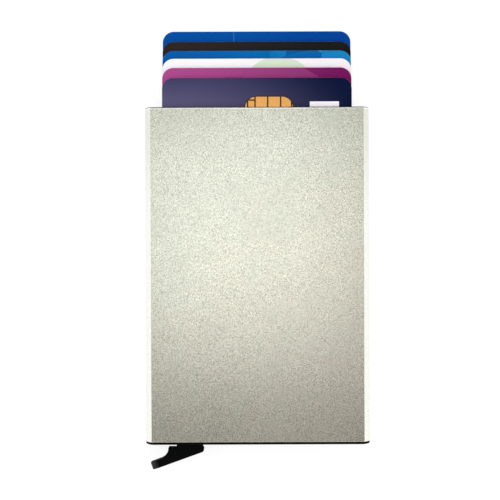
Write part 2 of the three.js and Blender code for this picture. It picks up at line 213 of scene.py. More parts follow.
table_white = bpy.data.materials.new("table_white")
table_white.use_nodes = True
floor_tree = table_white.node_tree
floor_tree.nodes.remove(floor_tree.nodes["Principled BSDF"])
light_path = put(floor_tree, "ShaderNodeLightPath").outputs
seen = maths(floor_tree, "MAXIMUM", light_path["Is Camera Ray"], light_path["Is Glossy Ray"])
seen = maths(floor_tree, "MAXIMUM", seen, light_path["Is Transmission Ray"])
glow = put(floor_tree, "ShaderNodeEmission", {"Strength": times(floor_tree, seen, FLOOR_GLOW)})
matt = put(floor_tree, "ShaderNodeBsdfDiffuse", {"Color": (FLOOR_GREY, FLOOR_GREY, FLOOR_GREY, 1.0)})
both = put(floor_tree, "ShaderNodeAddShader", {0: glow.outputs[0], 1: matt.outputs[0]})
floor_tree.links.new(both.outputs[0], floor_tree.nodes["Material Output"].inputs["Surface"])
floor_mesh.materials.append(table_white)
print("table top", 2 * FLOOR_HALF, "m square")

# %% [markdown]
# ## Effects that several finishes share
# Grain, rubbed patches and the place on a card's face are needed by more than one material, so each is a
# node group with named sockets. A group only hands out values, and each material decides what they feed.

# %% Shared node groups
def effect_group(name, inputs, outputs):
    """An empty shader group with the given float sockets, and its two ends."""
    group = bpy.data.node_groups.new(name, "ShaderNodeTree")
    for label in inputs:
        group.interface.new_socket(label, in_out="INPUT", socket_type="NodeSocketFloat")
    for label in outputs:
        group.interface.new_socket(label, in_out="OUTPUT", socket_type="NodeSocketFloat")
    return group, put(group, "NodeGroupInput"), put(group, "NodeGroupOutput")


def build_grain_group():
    """Fine even grain, as blasting or a textured mould leaves it, and a value for each single dent."""
    group, start, end = effect_group("Fine Grain", ["Scale"], ["Grain", "Dents"])
    place = put(group, "ShaderNodeTexCoord").outputs["Object"]
    sockets = {"Vector": place, "Scale": start.outputs["Scale"]}
    noise = put(group, "ShaderNodeTexNoise", {**sockets, "Detail": 3.0, "Roughness": 0.6})
    cells = put(group, "ShaderNodeTexVoronoi", sockets)
    dents = put(group, "ShaderNodeSeparateColor", {0: cells.outputs["Color"]})
    group.links.new(remap(group, noise.outputs[0], 0.25, 0.75), end.inputs["Grain"])
    group.links.new(dents.outputs[0], end.inputs["Dents"])
    return group


def build_marks_group():
    """Wide, soft patches where fingers and pockets have rubbed a surface."""
    group, start, end = effect_group("Handling Marks", ["Scale"], ["Marks"])
    place = put(group, "ShaderNodeTexCoord").outputs["Object"]
    sockets = {"Vector": place, "Scale": start.outputs["Scale"], "Detail": 5.0, "Roughness": 0.7}
    noise = put(group, "ShaderNodeTexNoise", sockets)
    group.links.new(remap(group, noise.outputs[0], 0.35, 0.68), end.inputs["Marks"])
    return group


def build_card_place_group(width, length):
    """How far a point lies across a card, from its left edge, and down it, from its top edge, 0 to 1."""
    group, start, end = effect_group("Card Place", ["Top"], ["Across", "Down"])
    place = put(group, "ShaderNodeTexCoord").outputs["Object"]
    axes = put(group, "ShaderNodeSeparateXYZ", {0: place}).outputs
    across = remap(group, axes["X"], -width / 2, width / 2)
    below = maths(group, "SUBTRACT", start.outputs["Top"], axes["Y"])
    group.links.new(across, end.inputs["Across"])
    group.links.new(remap(group, below, 0.0, length), end.inputs["Down"])
    return group


CARD_WIDTH, CARD_LENGTH = (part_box("navy_card")[1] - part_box("navy_card")[0]).xy
GRAIN = build_grain_group()
MARKS = build_marks_group()
CARD_PLACE = build_card_place_group(CARD_WIDTH, CARD_LENGTH)


def effect(tree, group, **values):
    """Places a shared group in a material, with its own values, and gives its outputs."""
    return put(tree, "ShaderNodeGroup", values, node_tree=group).outputs


print("groups:", GRAIN.name, MARKS.name, CARD_PLACE.name)

# %% [markdown]
# ## Blasted aluminium
# The sleeve is drawn aluminium, blasted with fine beads and anodised a warm silver. Blasting leaves
# thousands of tiny dents, each of which throws the light its own way, so the face sparkles rather than
# mirrors. One random value per dent darkens the deep ones, less so on the rounded sides that pockets have
# polished, and a metallic shader of middling roughness gives the soft bloom. The anodising drifts from a
# greenish to a pinkish silver, and the sides are painted darker towards the mouth as painted shade. At the
# mouth a bright line is painted along the edge as a painted highlight, a dark line is painted on the outer
# rounding beyond it as painted shade, and the sawn end of the wall is bare metal.

# %% Aluminium finish
def new_finish(name):
    """A material with its Principled shader, ready for sockets to be filled."""
    finish = bpy.data.materials.new(name)
    finish.use_nodes = True
    return finish, finish.node_tree, finish.node_tree.nodes["Principled BSDF"]


def feed_surface(tree, shader, tone, mask, smooth, rough):
    """Links a colour, and a roughness that follows a mask from smooth to rough."""
    tree.links.new(tone, shader.inputs["Base Color"])
    tree.links.new(remap(tree, mask, 0.0, 1.0, smooth, rough), shader.inputs["Roughness"])


def feed_bump(tree, shader, bump_height, depth, strength):
    """Raises the surface by a height value: depth is the full height in metres."""
    sockets = {"Height": bump_height, "Distance": depth, "Strength": strength}
    tree.links.new(put(tree, "ShaderNodeBump", sockets).outputs[0], shader.inputs["Normal"])


def blasted_aluminium(mouth, lip, highlight_band, middle):
    finish, tree, shader = new_finish("blasted_aluminium")
    grain = effect(tree, GRAIN, Scale=7500.0)
    marks = effect(tree, MARKS, Scale=55.0)
    patches = effect(tree, MARKS, Scale=170.0)
    surface = put(tree, "ShaderNodeTexCoord").outputs
    place = surface["Object"]
    drift = vector_maths(tree, "DOT_PRODUCT", place, (0.6, -0.8, 0.0))["Value"]
    drift = maths(tree, "ADD", drift, remap(tree, patches["Marks"], 0.0, 1.0, -0.02, 0.02))
    warmth = remap(tree, drift, -0.028, 0.045)
    silver = mix_colours(tree, warmth, (0.935, 0.965, 0.815, 1.0), (1.0, 0.935, 0.79, 1.0))
    normal = put(tree, "ShaderNodeSeparateXYZ", {0: surface["Normal"]}).outputs
    flatness = remap(tree, maths(tree, "ABSOLUTE", normal["Z"]), 0.7, 1.0)
    along = put(tree, "ShaderNodeSeparateXYZ", {0: place}).outputs["Y"]
    # The sides are painted darker towards the mouth: painted shade.
    painted_shade_to_mouth = remap(tree, along, mouth - 31 * MM, mouth - 8 * MM)
    sides = mix_colours(tree, painted_shade_to_mouth, (0.96, 0.965, 0.89, 1.0), (0.825, 0.83, 0.74, 1.0))
    silver = mix_colours(tree, flatness, sides, silver)
    strength = remap(tree, flatness, 0.0, 1.0, 0.2, 0.62)
    deep = times(tree, maths(tree, "POWER", grain["Dents"], 2.0), strength)
    silver = mix_colours(tree, deep, silver, (0.0, 0.0, 0.0, 1.0))
    # A bright line is painted along the mouth's edge: a painted highlight.
    painted_edge_highlight = between(tree, along, mouth - highlight_band, mouth - lip)
    tone = mix_colours(tree, painted_edge_highlight, silver, (0.99, 0.99, 0.93, 1.0))
    sawn = maths(tree, "GREATER_THAN", along, mouth - lip)
    tone = mix_colours(tree, sawn, tone, (0.62, 0.62, 0.58, 1.0))
    from_middle = vector_maths(tree, "SUBTRACT", place, (0.0, 0.0, middle))["Vector"]
    from_middle = vector_maths(tree, "MULTIPLY", from_middle, (1.0, 0.0, 1.0))["Vector"]
    outward = vector_maths(tree, "DOT_PRODUCT", from_middle, surface["Normal"])["Value"]
    outer = maths(tree, "GREATER_THAN", outward, 0.0)
    # A dark line is painted on the lip's outer rounding: painted shade.
    painted_dark_line = times(tree, outer, maths(tree, "LESS_THAN", normal["Y"], 0.93))
    tone = mix_colours(tree, times(tree, sawn, painted_dark_line), tone, (0.055, 0.053, 0.046, 1.0))
    feed_surface(tree, shader, tone, marks["Marks"], 0.258, 0.284)
    shader.inputs["Metallic"].default_value = 1.0
    feed_bump(tree, shader, grain["Grain"], 6e-6, 0.25)
    return finish


SLEEVE_LOW, SLEEVE_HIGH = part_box("housing_tube")
THICKNESS = SLEEVE_HIGH.z
MIDDLE = THICKNESS / 2
MOUTH = SLEEVE_HIGH.y
LOWER_END = SLEEVE_LOW.y
LIP = 0.25 * MM
# Width of the bright line painted below the mouth's lip: a painted highlight.
PAINTED_HIGHLIGHT_EDGE = 0.55 * MM
ALUMINIUM = blasted_aluminium(MOUTH, LIP, PAINTED_HIGHLIGHT_EDGE, MIDDLE)
print("finish:", ALUMINIUM.name)

# %% [markdown]
# ## Black mouldings
# The base and the lever are injection moulded in black plastic with a fine spark-eroded texture, so they
# hardly shine. The lever's tip is paler. A dot product with the finger's direction tells
# how far a point lies from the tip, which keeps the paler patch on the tip whichever way the lever turns.

# %% Plastic finishes
def black_plastic(name, tip=None, finger=None, pale_length=None):
    finish, tree, shader = new_finish(name)
    grain = effect(tree, GRAIN, Scale=5200.0)
    marks = effect(tree, MARKS, Scale=140.0)
    black = mix_colours(tree, marks["Marks"], (0.0009, 0.0013, 0.0011, 1.0), (0.0022, 0.0027, 0.0024, 1.0))
    if tip:
        place = put(tree, "ShaderNodeTexCoord").outputs["Object"]
        from_tip = vector_maths(tree, "SUBTRACT", place, tip)["Vector"]
        inward = vector_maths(tree, "DOT_PRODUCT", from_tip, finger)["Value"]
        tip_paleness = remap(tree, inward, -pale_length, 0.0, 0.0, 1.0, "SMOOTHSTEP")
        patchy = times(tree, tip_paleness, remap(tree, grain["Grain"], 0.0, 1.0, 0.35, 1.0))
        black = mix_colours(tree, patchy, black, (0.062, 0.063, 0.056, 1.0))
    feed_surface(tree, shader, black, grain["Grain"], 0.55, 0.7)
    shader.inputs["Specular IOR Level"].default_value = 0.05
    feed_bump(tree, shader, grain["Grain"], 6e-6, 0.4)
    return finish


BASE_PLASTIC = black_plastic("black_plastic")
print("finish:", BASE_PLASTIC.name)

# %% [markdown]
# ## Steel and rubber
# The hinge pin and the wire of the return spring are bright steel, and the finned strips beside the cards
# are soft dark rubber. They only show when the mouth is looked into or the cards are out, but they get
# their own grain all the same.

# %% Steel and rubber finishes
def grained_finish(name, scale, tones, roughness, bump=None, marks_scale=None, metallic=0.0):
    """A plain finish: its tone follows rubbed marks, or else the grain, and its roughness the grain."""
    finish, tree, shader = new_finish(name)
    grain = effect(tree, GRAIN, Scale=scale)["Grain"]
    mask = effect(tree, MARKS, Scale=marks_scale)["Marks"] if marks_scale else grain
    feed_surface(tree, shader, mix_colours(tree, mask, *tones), grain, *roughness)
    shader.inputs["Metallic"].default_value = metallic
    if bump:
        feed_bump(tree, shader, grain, *bump)
    return finish


STEEL_TONES = (0.42, 0.42, 0.43, 1.0), (0.60, 0.60, 0.61, 1.0)
RUBBER_TONES = (0.018, 0.018, 0.019, 1.0), (0.04, 0.04, 0.041, 1.0)
STEEL = grained_finish("spring_steel", 7000.0, STEEL_TONES, (0.22, 0.36), (2e-6, 0.3), 300.0, metallic=1.0)
RUBBER = grained_finish("soft_rubber", 3500.0, RUBBER_TONES, (0.78, 0.92), (1e-5, 0.4))
print("finishes:", STEEL.name, RUBBER.name)

# %% [markdown]
# ## Printed card faces
# Each card is a laminate: a printed sheet under a clear satin film, on a white core that shows at the
# edges. The prints are plain washes of colour with a quiet motif each: rings, waves, a disc, facets,
# pinstripes and arcs. All six share one lamination, so only the print is a function of its own. A print
# takes how far a point lies across and down the card, and gives back its colour.

# %% Prints
def distance_from(tree, across, down, centre_across, centre_down):
    """Distance from a point of the card's face, in card widths."""
    sideways = maths(tree, "SUBTRACT", across, centre_across)
    downwards = times(tree, maths(tree, "SUBTRACT", down, centre_down), CARD_LENGTH / CARD_WIDTH)
    squares = maths(tree, "ADD", maths(tree, "POWER", sideways, 2.0), maths(tree, "POWER", downwards, 2.0))
    return maths(tree, "SQRT", squares)


def wash(tree, share, first, second, start=0.0, end=1.0):
    """A smooth change from one display colour to another."""
    factor = remap(tree, share, start, end, 0.0, 1.0, "SMOOTHSTEP")
    return mix_colours(tree, factor, display_colour(*first), display_colour(*second))


def navy_print(tree, across, down):
    ink = wash(tree, across, (61, 61, 97), (5, 18, 54), 0.15, 0.95)
    # A pale glow is painted at the lower left, fading towards the top edge: a painted sheen of the overhead
    # softbox.
    painted_sheen = times(tree, maths(tree, "SUBTRACT", 1.0, across), remap(tree, down, 0.0, 0.13))
    ink = mix_colours(tree, times(tree, painted_sheen, 0.6), ink, display_colour(122, 114, 146))
    rings = maths(tree, "SINE", times(tree, distance_from(tree, across, down, 0.1, 0.75), 90.0))
    lines = times(tree, remap(tree, rings, 0.8, 1.0), remap(tree, down, 0.2, 0.5, 0.0, 0.25))
    ink = mix_colours(tree, lines, ink, display_colour(120, 122, 160))
    panel = times(tree, between(tree, across, 0.7785, 0.9325), between(tree, down, 0.0793, 0.19))
    return mix_colours(tree, panel, ink, display_colour(255, 250, 255))


def magenta_print(tree, across, down):
    ink = wash(tree, across, (165, 66, 133), (118, 19, 91))
    swing = times(tree, maths(tree, "SINE", times(tree, across, 4.2)), 0.09)
    waves = maths(tree, "SINE", times(tree, maths(tree, "ADD", down, swing), 26.0))
    crest = times(tree, remap(tree, waves, 0.0, 0.06), 0.22)
    return mix_colours(tree, crest, ink, display_colour(196, 96, 160))


def white_print(tree, across, down):
    ink = wash(tree, across, (252, 248, 252), (248, 238, 244))
    disc = maths(tree, "LESS_THAN", distance_from(tree, across, down, 0.617, 0.12), 0.202)
    ink = mix_colours(tree, disc, ink, display_colour(219, 225, 207))
    rule = times(tree, between(tree, down, 0.8, 0.81), between(tree, across, 0.1, 0.6))
    return mix_colours(tree, rule, ink, display_colour(176, 186, 170))


def sky_print(tree, across, down):
    ink = wash(tree, across, (5, 90, 167), (4, 108, 178), 0.0, 0.7)
    place = put(tree, "ShaderNodeTexCoord").outputs["Object"]
    flat = vector_maths(tree, "MULTIPLY", place, (1.0, 1.0, 0.0))["Vector"]
    cells = put(tree, "ShaderNodeTexVoronoi", {"Vector": flat, "Scale": 110.0}).outputs["Color"]
    tint = put(tree, "ShaderNodeSeparateColor", {0: cells}).outputs[0]
    facets = wash(tree, tint, (0, 52, 128), (34, 158, 216))
    return mix_colours(tree, remap(tree, across, 0.5, 0.85, 0.0, 0.75), ink, facets)


def black_print(tree, across, down):
    ink = wash(tree, across, (45, 37, 36), (24, 25, 25))
    slant = maths(tree, "ADD", across, times(tree, down, CARD_LENGTH / CARD_WIDTH))
    stripes = maths(tree, "SINE", times(tree, slant, 110.0))
    depth = remap(tree, down, 0.04, 0.3, 0.03, 0.25)
    lines = times(tree, remap(tree, stripes, 0.85, 1.0), depth)
    return mix_colours(tree, lines, ink, display_colour(84, 80, 78))


def blue_print(tree, across, down):
    ink = wash(tree, across, (0, 78, 160), (0, 66, 150), 0.3, 1.0)
    arcs = maths(tree, "SINE", times(tree, distance_from(tree, across, down, 1.1, 1.05), 14.0))
    bands = times(tree, remap(tree, arcs, 0.0, 0.04), remap(tree, down, 0.1, 0.4, 0.0, 0.3))
    ink = mix_colours(tree, bands, ink, display_colour(30, 110, 190))
    rule = times(tree, between(tree, across, 0.376, 0.381), 0.3)
    return mix_colours(tree, rule, ink, display_colour(96, 150, 205))


PRINTS = {
    "navy": navy_print,
    "magenta": magenta_print,
    "white": white_print,
    "sky": sky_print,
    "black": black_print,
    "blue": blue_print,
}
print("prints:", list(PRINTS))

# %% Lamination, card backs and card edges
def laminate(tree, shader, ink):
    """The clear satin film over a print: a little uneven, and scuffed by years in a wallet."""
    marks = effect(tree, MARKS, Scale=90.0)
    peel = effect(tree, GRAIN, Scale=900.0)
    feed_surface(tree, shader, ink, marks["Marks"], 0.34, 0.44)
    shader.inputs["Specular IOR Level"].default_value = 0.05
    feed_bump(tree, shader, peel["Grain"], 3e-6, 0.2)


def card_front(colour, top):
    finish, tree, shader = new_finish(colour + "_card_front")
    place = effect(tree, CARD_PLACE, Top=top)
    laminate(tree, shader, PRINTS[colour](tree, place["Across"], place["Down"]))
    return finish


BACK_TINTS = {
    "navy": (30, 34, 66),
    "magenta": (132, 40, 104),
    "white": (240, 237, 240),
    "sky": (8, 92, 164),
    "black": (34, 32, 32),
    "blue": (4, 70, 150),
}


def card_back(colour, top):
    """A plain back with a magnetic stripe along one side and a pale strip to sign on."""
    finish, tree, shader = new_finish(colour + "_card_back")
    place = effect(tree, CARD_PLACE, Top=top)
    tint = display_colour(*BACK_TINTS[colour])
    speckle = effect(tree, GRAIN, Scale=1500.0)
    ink = mix_colours(tree, times(tree, speckle["Grain"], 0.12), tint, (0.6, 0.6, 0.6, 1.0))
    stripe = between(tree, place["Across"], 0.08, 0.31)
    ink = mix_colours(tree, stripe, ink, display_colour(28, 24, 23))
    strip = times(tree, between(tree, place["Across"], 0.38, 0.54), between(tree, place["Down"], 0.06, 0.66))
    ink = mix_colours(tree, strip, ink, display_colour(226, 226, 218))
    laminate(tree, shader, ink)
    return finish


# The white core of the laminate, as it shows at a card's punched edge.
CORE_TONES = display_colour(196, 196, 200), display_colour(226, 226, 228)
CARD_CORE = grained_finish("card_core", 4000.0, CORE_TONES, (0.45, 0.6), (4e-6, 0.3))
print("finish:", CARD_CORE.name)

# %% [markdown]
# ## Gold contacts and resin
# A chip's contacts are gold plate, which handling dulls in patches, and the module below them is dark resin
# with a fine grain. Both are plain finishes, so the function for steel and rubber makes them too.

# %% Chip finishes
GOLD_TONES = (0.99, 0.48, 0.128, 1.0), (1.0, 0.52, 0.165, 1.0)
RESIN_TONES = (0.028, 0.013, 0.003, 1.0), (0.050, 0.026, 0.008, 1.0)
GOLD = grained_finish("contact_gold", 5000.0, GOLD_TONES, (0.26, 0.3), (1e-6, 0.1), 400.0, metallic=1.0)
RESIN = grained_finish("chip_resin", 6000.0, RESIN_TONES, (0.5, 0.65))
print("finishes:", GOLD.name, RESIN.name)

# %% [markdown]
# ## Shapes from outlines
# Almost every piece is an outline carried along one direction: the sleeve and its base along Y, the
# cards, the lever and the combs along Z. Rings of points skinned into a mesh give full control over the
# small roundings at the edges, which are what catches the light. Holes and joins are left to booleans.

# %% Outline helpers
def rounded_outline(corners, steps=6):
    """A closed outline, counter-clockwise, through corners (x, y, rounding radius)."""
    outline = []
    for index, (x, y, radius) in enumerate(corners):
        corner = Vector((x, y))
        back = (Vector(corners[index - 1][:2]) - corner).normalized()
        ahead = (Vector(corners[(index + 1) % len(corners)][:2]) - corner).normalized()
        half = back.angle(ahead) / 2
        inward = (back + ahead).normalized() * (radius / math.sin(half))
        reach = radius / math.tan(half)
        start = back * reach - inward
        end = ahead * reach - inward
        first = math.atan2(start.y, start.x)
        sweep = (math.atan2(end.y, end.x) - first + math.pi) % math.tau - math.pi
        for step in range(steps + 1):
            angle = first + sweep * step / steps
            outline.append(corner + inward + radius * Vector((math.cos(angle), math.sin(angle))))
    return outline


def rounded_rectangle(centre, width, depth, radius, steps):
    corners = [(centre[0] + x * width / 2, centre[1] + y * depth / 2, radius) for x, y in SQUARE]
    return rounded_outline(corners, steps)


def inset_outline(outline, distance):
    """The outline moved inwards; distance stays below its outward roundings."""
    moved = []
    for index, point in enumerate(outline):
        before = (point - outline[index - 1]).normalized()
        after = (outline[(index + 1) % len(outline)] - point).normalized()
        first = Vector((-before.y, before.x))
        second = Vector((-after.y, after.x))
        moved.append(point + (first + second) * (distance / (1 + first.dot(second))))
    return moved


def edge_rounding(low, high, radius, steps=3):
    """(inset, height) of each ring, from the lower face up round its edge to the upper face."""
    turns = [math.pi / 2 * step / steps for step in range(steps + 1)]
    below = [(radius * (1 - math.sin(turn)), low + radius * (1 - math.cos(turn))) for turn in turns]
    return below + [(inset, low + high - height) for inset, height in reversed(below)]


print("outline helpers ready")

# %% Mesh helpers
def skin(name, rings, looped=False):
    """A mesh over rings with equal counts of points; its ends are capped, or joined if it is looped."""
    form = bmesh.new()
    loops = [[form.verts.new(point) for point in ring] for ring in rings]
    for near, far in zip(loops, loops[1:] + (loops[:1] if looped else [])):
        for index in range(len(near)):
            form.faces.new((near[index - 1], near[index], far[index], far[index - 1]))
    if not looped:
        form.faces.new(loops[0])
        form.faces.new(loops[-1])
    bmesh.ops.recalc_face_normals(form, faces=form.faces)
    mesh = bpy.data.meshes.new(name)
    form.to_mesh(mesh)
    form.free()
    piece = bpy.data.objects.new(name, mesh)
    bpy.context.collection.objects.link(piece)
    return piece


def moulded(name, outline, low, high, radius, along="Z"):
    """An outline given depth along Z or Y, with rounded edges."""
    rings = []
    for inset, height in edge_rounding(low, high, radius):
        ring = inset_outline(outline, inset)
        rings.append([(p.x, p.y, height) if along == "Z" else (p.x, height, p.y) for p in ring])
    return skin(name, rings)


def turned(name, centre, profile, sides=48):
    """A round piece on an axis along Z, from (radius, height) pairs."""
    angles = [math.tau * side / sides for side in range(sides)]
    rings = []
    for radius, height in profile:
        spokes = [(radius * math.cos(angle), radius * math.sin(angle)) for angle in angles]
        rings.append([(centre.x + x, centre.y + y, height) for x, y in spokes])
    return skin(name, rings)


def block(name, low, high):
    """A plain cutter between two corners."""
    corners = [(low[0], low[1]), (high[0], low[1]), (high[0], high[1]), (low[0], high[1])]
    return skin(name, [[(x, y, z) for x, y in corners] for z in (low[2], high[2])])


def carve(piece, joined=(), removed=()):
    """Joins solids to a piece and cuts others away, then drops them."""
    for operation, others in (("UNION", joined), ("DIFFERENCE", removed)):
        for other in others:
            step = piece.modifiers.new(operation.title(), "BOOLEAN")
            step.operation = operation
            step.solver = "EXACT"
            step.object = other
    depsgraph = bpy.context.evaluated_depsgraph_get()
    mesh = bpy.data.meshes.new_from_object(piece.evaluated_get(depsgraph))
    piece.modifiers.clear()
    piece.data = mesh
    for other in (*joined, *removed):
        bpy.data.objects.remove(other)
    return piece


SMOOTH_ANGLE = math.radians(35)


def shade(piece):
    """Smooth roundings beside true flats: sharp edges stay sharp, large faces keep their own normals."""
    piece.data.shade_smooth()
    piece.data.set_sharp_from_angle(angle=SMOOTH_ANGLE)
    weighting = piece.modifiers.new("Flat faces first", "WEIGHTED_NORMAL")
    weighting.keep_sharp = True


def fit(piece, body, slot, finish, *nodes):
    """Shades a rigid piece, gives it its finish, and lets it ride a body in place of CAD nodes."""
    shade(piece)
    if finish:
        piece.data.materials.append(finish)
    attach(piece, body)
    if nodes:
        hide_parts(*nodes)
    print(piece.name, len(piece.data.polygons), "faces on", body)


print("mesh helpers ready")

# %% [markdown]
# ## Sleeve
# The sleeve is a drawn tube: two flat faces joined by bulged sides that meet them in a crisp crease. Its
# section is worked out from the same driving sizes as in the CAD model, with each crease rounded by a
# small circle that touches the flat and the bulge. Rings of that section run down the outside, round the
# lower end, up the inside and round the mouth, so the wall is one closed skin with softened lips.

# %% Sleeve
HALF_WIDTH = SLEEVE_HIGH.x
WALL = 0.9 * MM
SIDE_BULGE = 1.8 * MM
SIDE_RADIUS = (MIDDLE**2 + SIDE_BULGE**2) / (2 * SIDE_BULGE)
SIDE_CENTRE = HALF_WIDTH - SIDE_RADIUS
CREASE = 0.14 * MM


def arc(centre, radius, start, end, steps):
    angles = [start + (end - start) * step / steps for step in range(steps + 1)]
    return [Vector((centre[0] + radius * math.cos(a), centre[1] + radius * math.sin(a))) for a in angles]


def sleeve_outline(inset):
    """The section in X and Z, inset from the outer surface, with its four creases rounded."""
    radius = SIDE_RADIUS - inset
    half = MIDDLE - inset
    small_x = SIDE_CENTRE + math.sqrt((radius - CREASE) ** 2 - (half - CREASE) ** 2)
    small_z = half - CREASE
    lean = math.atan2(small_z, small_x - SIDE_CENTRE)
    right = arc((small_x, MIDDLE - small_z), CREASE, -math.pi / 2, -lean, 4)
    right += arc((SIDE_CENTRE, MIDDLE), radius, -lean, lean, 24)[1:-1]
    right += arc((small_x, MIDDLE + small_z), CREASE, lean, math.pi / 2, 4)
    return right + [Vector((-point.x, point.y)) for point in reversed(right)]


def sleeve_ring(inset, y):
    return [(point.x, y, point.y) for point in sleeve_outline(inset)]


lip = edge_rounding(0.0, WALL, LIP)  # across the wall: (back from the end, depth into the wall)
sleeve_rings = [sleeve_ring(depth, MOUTH - back) for back, depth in lip]
sleeve_rings += [sleeve_ring(depth, LOWER_END + back) for back, depth in reversed(lip)]
sleeve = skin("sleeve_shell", sleeve_rings, looped=True)
fit(sleeve, "holder", "anodised_aluminium", ALUMINIUM, "housing_tube")

# %% [markdown]
# ## Base
# A black moulding closes the lower end: a thin flange with the sleeve's outline, and a plug that goes up
# inside. The plug is hollow for the lever: a slot for its neck, a shelf for the spring, room for the arm,
# and two cheeks that hold the hinge pin. Cutting those hollows with booleans follows how the mould works.

# %% Base moulding
FIT_GAP = 0.15 * MM
CUT = 1.0 * MM  # how far a cutter runs past what it cuts
FLANGE_THICKNESS = 0.6 * MM
FLANGE_EDGE = 0.15 * MM  # towards the sleeve
FLANGE_ROUND = 0.42 * MM  # at the foot
NECK_LEFT = 3.2 * MM
SHOULDER_RIGHT = 4.57 * MM
SHOULDER_DROP = 0.95 * MM  # below the flange
SHOULDER_DEPTH = 1.27 * MM
CHEEK_RIGHT = 6.5 * MM
SLOT_HALF = 2.05 * MM
SHELF_LEFT = 5.5 * MM
SHELF_DROP = 1.975 * MM
FLOOR_THICKNESS = 1.2 * MM
HUB_RADIUS = 2.2 * MM
SWING = math.radians(45)
LIFT_GAP = 0.3 * MM
SWING_GAP = 0.4 * MM
ARM_GAP = 0.6 * MM
PIN_FIT = 0.05 * MM

lever_joint = next(joint for joint in frame["joints"] if joint["name"] == "lever_press")
PIVOT = Vector(lever_joint["pos_m"])
BASE_LOW, BASE_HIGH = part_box("base_cap")
CARD_BOXES = {colour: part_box(colour + "_card") for colour in PRINTS}
FLANGE_TOP = BASE_LOW.y + FLANGE_THICKNESS
PIN_LOW, PIN_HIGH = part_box("hinge_pin")
PIN_RADIUS = (PIN_HIGH.x - PIN_LOW.x) / 2


def step_reach(card_low):
    """Where a step ends, so that its corner stops just under its card when the lever is pressed."""
    lift = card_low - LIFT_GAP - PIVOT.y
    return (lift - HUB_RADIUS * math.cos(SWING)) / math.sin(SWING)


reaches = [step_reach(low.y) for low, high in CARD_BOXES.values()]
shoulder = BASE_LOW.y - SHOULDER_DROP - PIVOT.y
heel = Vector((SHOULDER_RIGHT, shoulder - SHOULDER_DEPTH))
HEEL_ROOM = heel.length + SWING_GAP  # the heel swings up into the base
ARM_ROOM = reaches[-1] + ARM_GAP

foot = edge_rounding(BASE_LOW.y, FLANGE_TOP, FLANGE_ROUND)
rim = edge_rounding(BASE_LOW.y, FLANGE_TOP, FLANGE_EDGE)
flange = foot[: len(foot) // 2] + rim[len(rim) // 2 :]
base = skin("base_moulding", [sleeve_ring(inset, y) for inset, y in flange])
plug_edges = edge_rounding(FLANGE_TOP - FLANGE_EDGE * 1.5, BASE_HIGH.y, FLANGE_EDGE)
plug = skin("plug", [sleeve_ring(WALL + FIT_GAP + inset, y) for inset, y in plug_edges])
neck_slot = block(
    "neck_slot",
    (PIVOT.x - NECK_LEFT - SWING_GAP, BASE_LOW.y - CUT, MIDDLE - SLOT_HALF),
    (PIVOT.x + HEEL_ROOM, BASE_HIGH.y + CUT, MIDDLE + SLOT_HALF),
)
spring_shelf = block(
    "spring_shelf",
    (PIVOT.x - SHELF_LEFT, PIVOT.y - SHELF_DROP, MIDDLE - SLOT_HALF),
    (PIVOT.x, BASE_HIGH.y + CUT, MIDDLE + SLOT_HALF),
)
arm_hollow = block(
    "arm_hollow",
    (PIVOT.x + CHEEK_RIGHT, LOWER_END + FLOOR_THICKNESS, -CUT),
    (PIVOT.x + ARM_ROOM, BASE_HIGH.y + CUT, THICKNESS + CUT),
)
pin_hole = turned("pin_hole", PIVOT, [(PIN_RADIUS + PIN_FIT, height) for height in (0.0, THICKNESS)])
carve(base, joined=[plug], removed=[neck_slot, spring_shelf, arm_hollow, pin_hole])
fit(base, "holder", "black_plastic", BASE_PLASTIC, "base_cap")

# %% [markdown]
# ## Lever
# The lever is one moulding: a hub on the hinge pin, a neck through the base, a slanted finger under it
# and a stepped arm inside. Finger and neck are flat outlines whose corners carry their own roundings. The
# arm is a flight of stairs in X and Z drawn along Y, one step for each card, and it thins towards its end.
# The finger's tip is thinned and ribbed by cutting the faces across and moving the cut lines.

# %% Lever plate
NECK_RIGHT = 4.3 * MM
SHOULDER_LEFT = 5.62 * MM
FINGER_ANGLE = math.radians(19.7)
FINGER_LENGTH = 15.42 * MM
FINGER_THICKNESS = 2.3 * MM
NOTCH_RADIUS = 3.0 * MM
HEEL_ROUND = 0.8 * MM
ARM_START = 8.0 * MM
LEVER_HALF = 1.85 * MM
LEVER_EDGE = 0.32 * MM
SMALL_ROUND = 0.35 * MM
ARM_CLEARANCE = 0.3 * MM

arm_bottom = LOWER_END + FLOOR_THICKNESS + ARM_CLEARANCE - PIVOT.y
finger = Vector((-math.cos(FINGER_ANGLE), -math.sin(FINGER_ANGLE)))
finger_up = Vector((-math.sin(FINGER_ANGLE), math.cos(FINGER_ANGLE)))
tip_lower = heel + finger * FINGER_LENGTH
tip_upper = tip_lower + finger_up * FINGER_THICKNESS
notch = tip_upper + finger * ((-SHOULDER_LEFT - tip_upper.x) / finger.x)

finger_outline = rounded_outline(
    [
        (-SHOULDER_LEFT, shoulder, SMALL_ROUND),
        (notch.x, notch.y, NOTCH_RADIUS),
        (tip_upper.x, tip_upper.y, SMALL_ROUND),
        (tip_lower.x, tip_lower.y, SMALL_ROUND),
        (heel.x, heel.y, HEEL_ROUND),
        (SHOULDER_RIGHT, shoulder, SMALL_ROUND),
    ]
)
neck_end = shoulder - 2 * SMALL_ROUND
neck_outline = rounded_outline(
    [
        (ARM_START + CUT, arm_bottom, SMALL_ROUND),
        (ARM_START + CUT, HUB_RADIUS, SMALL_ROUND),
        (-HUB_RADIUS, HUB_RADIUS, HUB_RADIUS * 0.94),
        (-HUB_RADIUS, 0.0, SMALL_ROUND),
        (-NECK_LEFT, arm_bottom, SMALL_ROUND),
        (-NECK_LEFT, neck_end, SMALL_ROUND),
        (NECK_RIGHT, neck_end, SMALL_ROUND),
        (NECK_RIGHT, arm_bottom, SMALL_ROUND),
    ]
)
